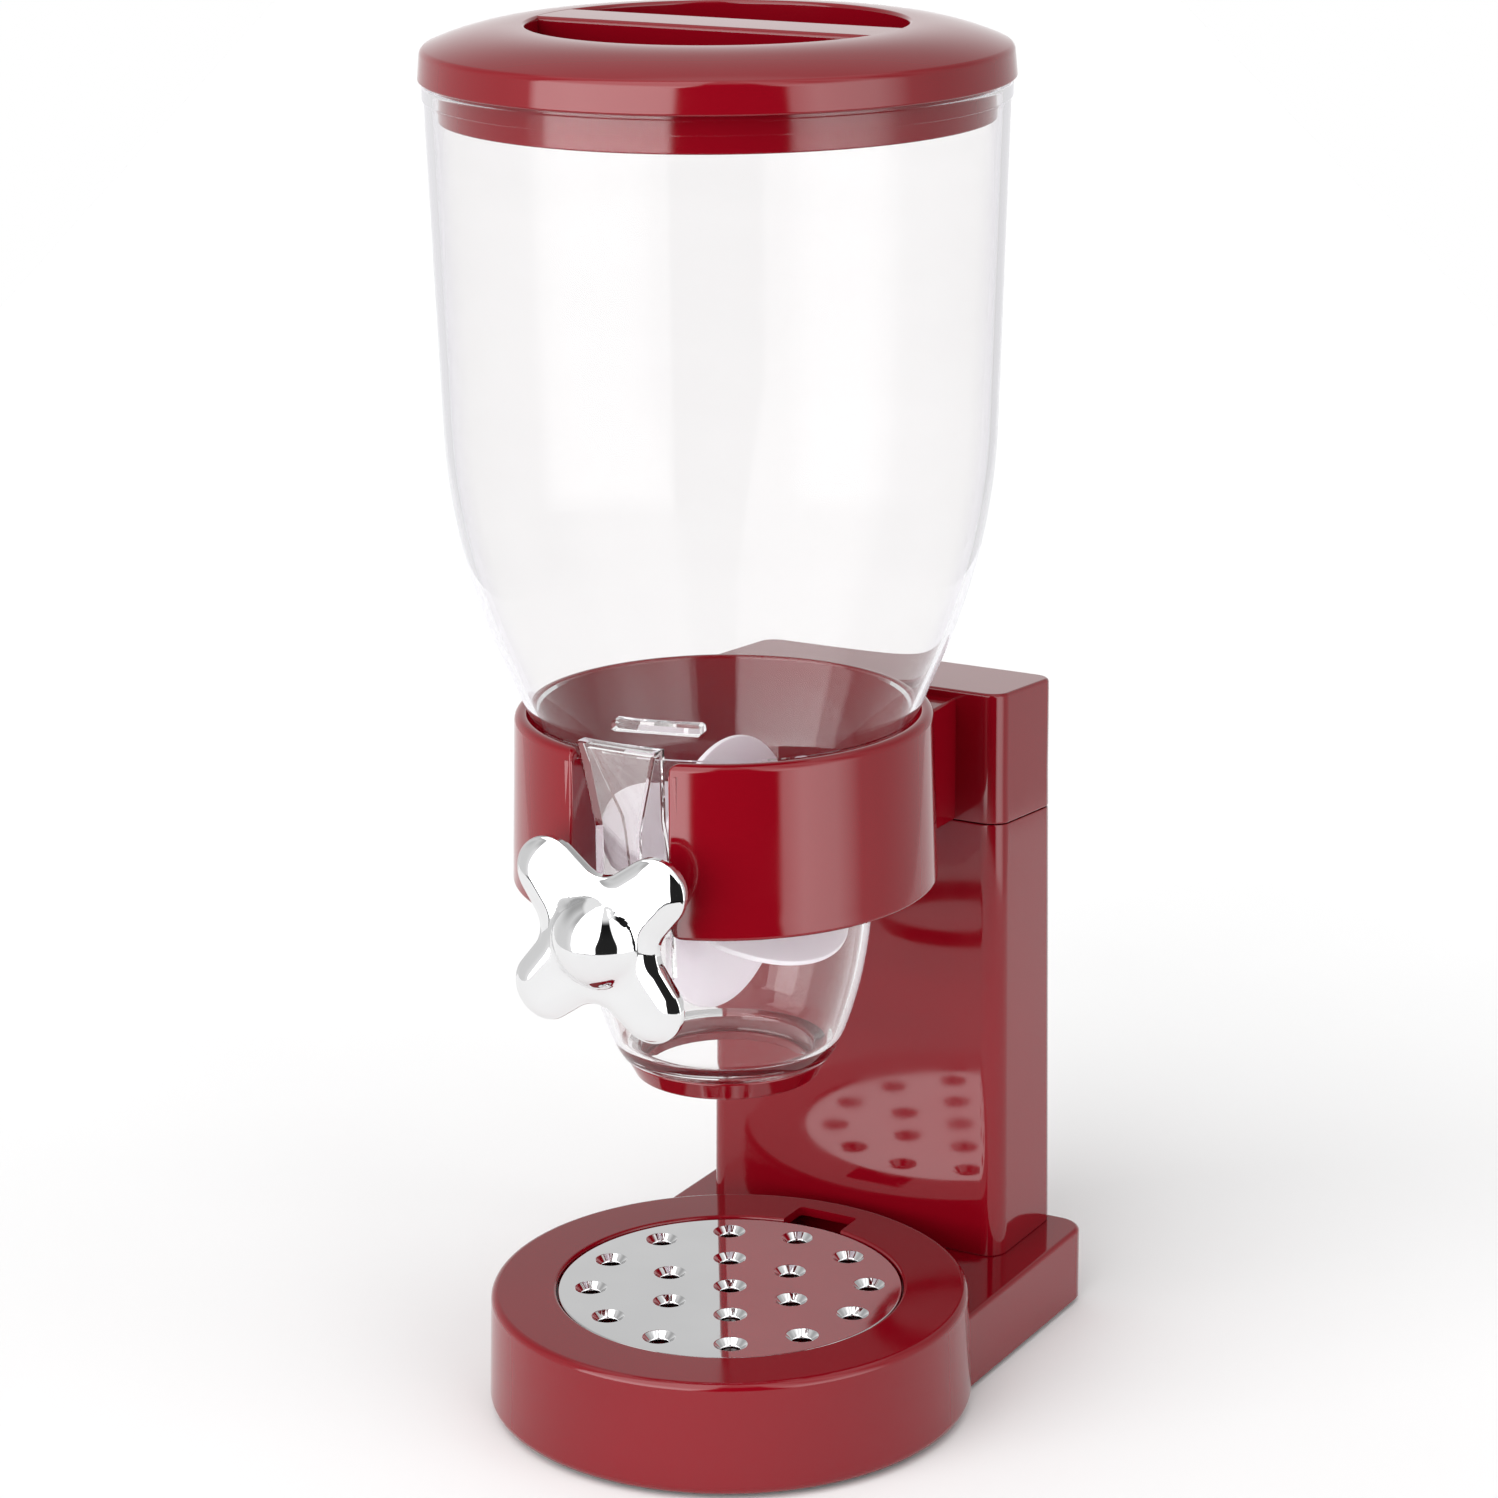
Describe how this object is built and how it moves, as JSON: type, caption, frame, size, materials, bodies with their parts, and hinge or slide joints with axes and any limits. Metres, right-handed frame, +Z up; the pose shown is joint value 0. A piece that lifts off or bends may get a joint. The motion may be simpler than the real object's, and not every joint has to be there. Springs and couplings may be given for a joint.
{
  "type": "dry food dispenser",
  "caption": "Countertop gravity dispenser: a clear hopper in a C-shaped bracket over a round drip tray, with a knob-turned paddle wheel that meters dry food.",
  "frame": {"origin": "centre of the footprint's bounding box, on the surface the rubber feet stand on", "axes": "+Z up, -Y towards the knob and the user, +X to the right of someone who looks along +Y"},
  "size_m": [0.1566, 0.1898, 0.3897],
  "materials": {
    "red_plastic": "glossy deep red moulding",
    "clear_plastic": "clear polished moulding",
    "chrome_plate": "bright chrome plating on plastic",
    "paddle_rubber": "milky silicone",
    "shaft_steel": "turned stainless steel",
    "screw_steel": "plain steel",
    "bearing_plastic": "white low-friction plastic",
    "seal_rubber": "translucent silicone",
    "foot_rubber": "black rubber"
  },
  "bodies": {
    "stand": {"base": "red_plastic", "column": "red_plastic", "ring_bracket": "red_plastic", "base_feet": "foot_rubber", "column_screws": "screw_steel", "bracket_screws": "screw_steel"},
    "tray": {"drip_tray": "chrome_plate"},
    "hopper": {"canister": "clear_plastic", "outlet_ring": "red_plastic", "front_bearing": "bearing_plastic", "rear_bearing": "bearing_plastic"},
    "lid": {"lid_cover": "red_plastic", "lid_seal": "seal_rubber"},
    "rotor": {"knob": "chrome_plate", "knob_washer": "screw_steel", "shaft": "shaft_steel", "shaft_clip": "screw_steel", "rotor_hub": "paddle_rubber", "paddle_1": "paddle_rubber", "paddle_2": "paddle_rubber", "paddle_3": "paddle_rubber", "paddle_4": "paddle_rubber", "paddle_5": "paddle_rubber", "paddle_6": "paddle_rubber"}
  },
  "joints": [
    {"name": "canister_lift", "type": "slide", "parent": "stand", "child": "hopper", "axis": [0, 0, 1], "range_m": [0, 0.11]},
    {"name": "lid_lift", "type": "slide", "parent": "hopper", "child": "lid", "axis": [0, 0, 1], "range_m": [0, 0.04]},
    {"name": "tray_lift", "type": "slide", "parent": "stand", "child": "tray", "axis": [0, 0, 1], "range_m": [0, 0.03]},
    {"name": "paddle_spin", "type": "hinge", "parent": "hopper", "child": "rotor", "pos_m": [0, -0.0166, 0.1575], "axis": [0, -1, 0], "continuous": true}
  ]
}
